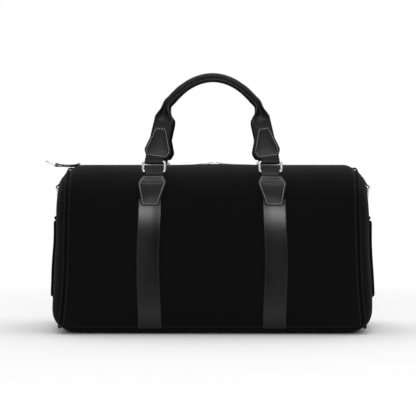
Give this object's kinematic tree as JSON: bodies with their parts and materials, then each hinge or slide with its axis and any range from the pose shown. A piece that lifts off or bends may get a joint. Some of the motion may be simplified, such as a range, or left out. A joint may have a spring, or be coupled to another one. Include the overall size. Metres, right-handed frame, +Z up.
{
  "type": "weekender bag",
  "caption": "Soft canvas weekender bag with satin webbing straps, rolled leather handles on metal rings, a zipped top and end D-rings.",
  "frame": {"origin": "on the floor, at the middle of the centre foot's underside, under the middle of the bag", "axes": "+X to the bag's right along the zip, +Y from the front to the back, +Z up; +X is the longest extent"},
  "size_m": [0.5489, 0.24, 0.4229],
  "materials": {
    "canvas": "matt black heavy canvas, fine plain weave",
    "lining": "smooth woven lining",
    "webbing": "ribbed black webbing",
    "zip_tape": "herringbone zip tape",
    "leather": "satin black leather with light grey stitching",
    "piping": "matt black piping",
    "nickel": "satin nickel plated hardware",
    "foot_metal": "dull antique metal",
    "board": "grey stiffener board"
  },
  "bodies": {
    "bag": {"back_left_foot": "foot_metal", "back_left_loop": "leather", "back_left_patch": "leather", "back_left_strap": "webbing", "back_panel": "canvas", "back_right_foot": "foot_metal", "back_right_loop": "leather", "back_right_patch": "leather", "back_right_strap": "webbing", "base_board": "board", "base_panel": "canvas", "centre_foot": "foot_metal", "front_left_foot": "foot_metal", "front_left_loop": "leather", "front_left_patch": "leather", "front_left_strap": "webbing", "front_panel": "canvas", "front_right_foot": "foot_metal", "front_right_loop": "leather", "front_right_patch": "leather", "front_right_strap": "webbing", "inner_pocket": "lining", "left_end_panel": "canvas", "left_end_patch": "canvas", "left_end_webbing": "webbing", "left_piping": "piping", "left_ring_tab": "leather", "lining": "lining", "right_end_panel": "canvas", "right_end_patch": "canvas", "right_end_webbing": "webbing", "right_piping": "piping", "right_ring_tab": "leather", "zip_end_tab": "leather", "zip_stop_left": "nickel", "zip_stop_right": "nickel", "zip_tape_back": "zip_tape", "zip_tape_front": "zip_tape", "zip_teeth_back": "nickel", "zip_teeth_front": "nickel"},
    "front_rings": {"front_left_ring": "nickel", "front_right_ring": "nickel"},
    "front_grip": {"front_handle": "leather", "front_left_handle_patch": "leather", "front_right_handle_patch": "leather"},
    "back_rings": {"back_left_ring": "nickel", "back_right_ring": "nickel"},
    "back_grip": {"back_handle": "leather", "back_left_handle_patch": "leather", "back_right_handle_patch": "leather"},
    "left_slider": {"left_slider": "nickel"},
    "right_slider": {"right_slider": "nickel"},
    "left_pull": {"left_pull": "nickel"},
    "right_pull": {"right_pull": "nickel"},
    "left_d_ring": {"left_d_ring": "nickel"},
    "right_d_ring": {"right_d_ring": "nickel"},
    "zip_end_ring": {"zip_end_ring": "nickel"}
  },
  "joints": [
    {"name": "front_rings_swing", "type": "hinge", "parent": "bag", "child": "front_rings", "pos_m": [0, -0.086, 0.262], "axis": [1, 0, 0], "range_deg": [-10, 45]},
    {"name": "front_handle_swing", "type": "hinge", "parent": "front_rings", "child": "front_grip", "pos_m": [0, -0.086, 0.2785], "axis": [1, 0, 0], "range_deg": [-5, 85]},
    {"name": "back_rings_swing", "type": "hinge", "parent": "bag", "child": "back_rings", "pos_m": [0, 0.086, 0.262], "axis": [-1, 0, 0], "range_deg": [-10, 45]},
    {"name": "back_handle_swing", "type": "hinge", "parent": "back_rings", "child": "back_grip", "pos_m": [0, 0.086, 0.2785], "axis": [-1, 0, 0], "range_deg": [-5, 85]},
    {"name": "left_slider_travel", "type": "slide", "parent": "bag", "child": "left_slider", "axis": [-1, 0, 0], "range_m": [0, 0.188]},
    {"name": "right_slider_travel", "type": "slide", "parent": "bag", "child": "right_slider", "axis": [1, 0, 0], "range_m": [0, 0.198]},
    {"name": "left_pull_lift", "type": "hinge", "parent": "left_slider", "child": "left_pull", "pos_m": [-0.0027, 0, 0.2766], "axis": [-0.342, 0.9397, 0], "range_deg": [0, 90]},
    {"name": "right_pull_lift", "type": "hinge", "parent": "right_slider", "child": "right_pull", "pos_m": [0.0097, 0, 0.2766], "axis": [-0.342, -0.9397, 0], "range_deg": [0, 90]},
    {"name": "left_d_ring_swing", "type": "hinge", "parent": "bag", "child": "left_d_ring", "pos_m": [-0.2586, 0, 0.236], "axis": [0, 1, 0], "range_deg": [0, 150]},
    {"name": "right_d_ring_swing", "type": "hinge", "parent": "bag", "child": "right_d_ring", "pos_m": [0.2586, 0, 0.236], "axis": [0, -1, 0], "range_deg": [0, 150]},
    {"name": "zip_end_ring_swing", "type": "hinge", "parent": "bag", "child": "zip_end_ring", "pos_m": [-0.262, 0, 0.2738], "axis": [0, 1, 0], "range_deg": [-75, 60]}
  ]
}
